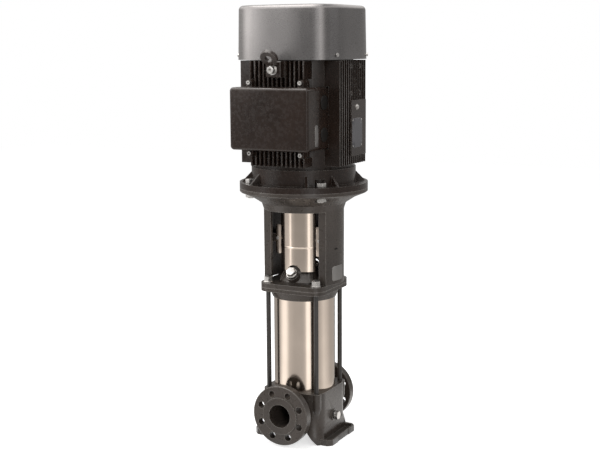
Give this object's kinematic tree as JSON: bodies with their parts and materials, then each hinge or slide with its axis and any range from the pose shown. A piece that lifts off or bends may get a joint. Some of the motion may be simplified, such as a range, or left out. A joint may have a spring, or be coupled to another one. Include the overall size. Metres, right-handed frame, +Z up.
{
  "type": "vertical multistage pump",
  "caption": "Upright in-line multistage pump: flanged base, polished sleeve on staybolts, pump head, open motor stool with guards, and a finned flange motor on top.",
  "frame": {"origin": "underside of the base, in the middle of the four foot bolt holes, on the shaft axis", "axes": "+Z up along the shaft, -Y out of the inlet port, +Y out of the outlet port, +X towards the drain plug"},
  "size_m": [0.35, 0.3796, 1.185],
  "materials": {
    "casting": "satin black-grey paint on cast iron",
    "motor_paint": "satin black paint on cast metal",
    "cover_paint": "metallic grey paint on sheet steel",
    "stainless": "brushed stainless steel",
    "zinc_steel": "bright zinc plate",
    "dark_steel": "black coated steel",
    "coupling_iron": "machined iron",
    "rubber": "matte black rubber",
    "carbide": "lapped carbide",
    "seal_plastic": "off-white plastic",
    "shaft_steel": "turned steel",
    "bearing_steel": "ground bearing steel",
    "cage_brass": "pressed brass",
    "lamination": "stacked sheet edges",
    "copper": "varnished copper",
    "fan_plastic": "black plastic",
    "entry_plastic": "black plastic",
    "board_plastic": "brown moulding"
  },
  "bodies": {
    "pump_body": {"bearing_bushes": "carbide", "bearing_outer_rings": "bearing_steel", "box_screws": "zinc_steel", "cable_entry_plugs": "entry_plastic", "chamber_1": "stainless", "chamber_2": "stainless", "chamber_3": "stainless", "chamber_4": "stainless", "chamber_seal_rings": "seal_plastic", "coupling_guard_back": "stainless", "coupling_guard_front": "stainless", "discharge_piece": "stainless", "drive_end_shield": "motor_paint", "end_shield_screws": "zinc_steel", "fan_cover": "cover_paint", "fan_cover_screws": "zinc_steel", "fan_end_shield": "motor_paint", "guard_screws": "zinc_steel", "inlet_piece": "stainless", "lifting_lug": "motor_paint", "lug_bolt": "zinc_steel", "motor_flange_bolts": "zinc_steel", "motor_flange_nuts": "zinc_steel", "motor_frame": "motor_paint", "motor_stool": "casting", "outer_sleeve": "stainless", "plug_seals": "rubber", "pump_base": "casting", "pump_head": "casting", "seal_fixed_ring": "carbide", "seal_gland": "stainless", "sleeve_seals": "rubber", "stack_straps": "stainless", "stator_core": "lamination", "stator_windings": "copper", "staybolt_nuts": "zinc_steel", "staybolts": "dark_steel", "terminal_board": "board_plastic", "terminal_box": "motor_paint", "terminal_box_cover": "motor_paint"},
    "rotor": {"pump_shaft": "stainless", "shaft_spacers": "stainless", "shaft_end_nut": "stainless", "seal_turning_unit": "carbide", "coupling_half_front": "coupling_iron", "coupling_half_back": "coupling_iron", "coupling_screws": "zinc_steel", "coupling_pin": "zinc_steel", "motor_shaft": "shaft_steel", "rotor_core": "lamination", "bearing_inner_rings": "bearing_steel", "cooling_fan": "fan_plastic", "impeller_1": "stainless", "impeller_2": "stainless", "impeller_3": "stainless", "impeller_4": "stainless"},
    "ball_sets": {"bearing_balls": "bearing_steel", "bearing_cages": "cage_brass"},
    "vent": {"vent_plug": "zinc_steel"},
    "drain": {"drain_plug": "zinc_steel"}
  },
  "joints": [
    {"name": "rotor_spin", "type": "hinge", "parent": "pump_body", "child": "rotor", "pos_m": [0, 0, 0.7], "axis": [0, 0, 1], "continuous": true},
    {"name": "ball_orbit", "type": "hinge", "parent": "pump_body", "child": "ball_sets", "pos_m": [0, 0, 0.7], "axis": [0, 0, 1], "continuous": true},
    {"name": "vent_turn", "type": "hinge", "parent": "pump_body", "child": "vent", "pos_m": [0, -0.078, 0.475], "axis": [0, -0.7071, 0.7071], "range_deg": [0, 180]},
    {"name": "drain_turn", "type": "hinge", "parent": "pump_body", "child": "drain", "pos_m": [0.093, 0, 0.064], "axis": [1, 0, 0], "range_deg": [0, 180]}
  ],
  "couplings": [
    {"joint": "ball_orbit", "follows": "rotor_spin", "ratio": 0.381}
  ]
}
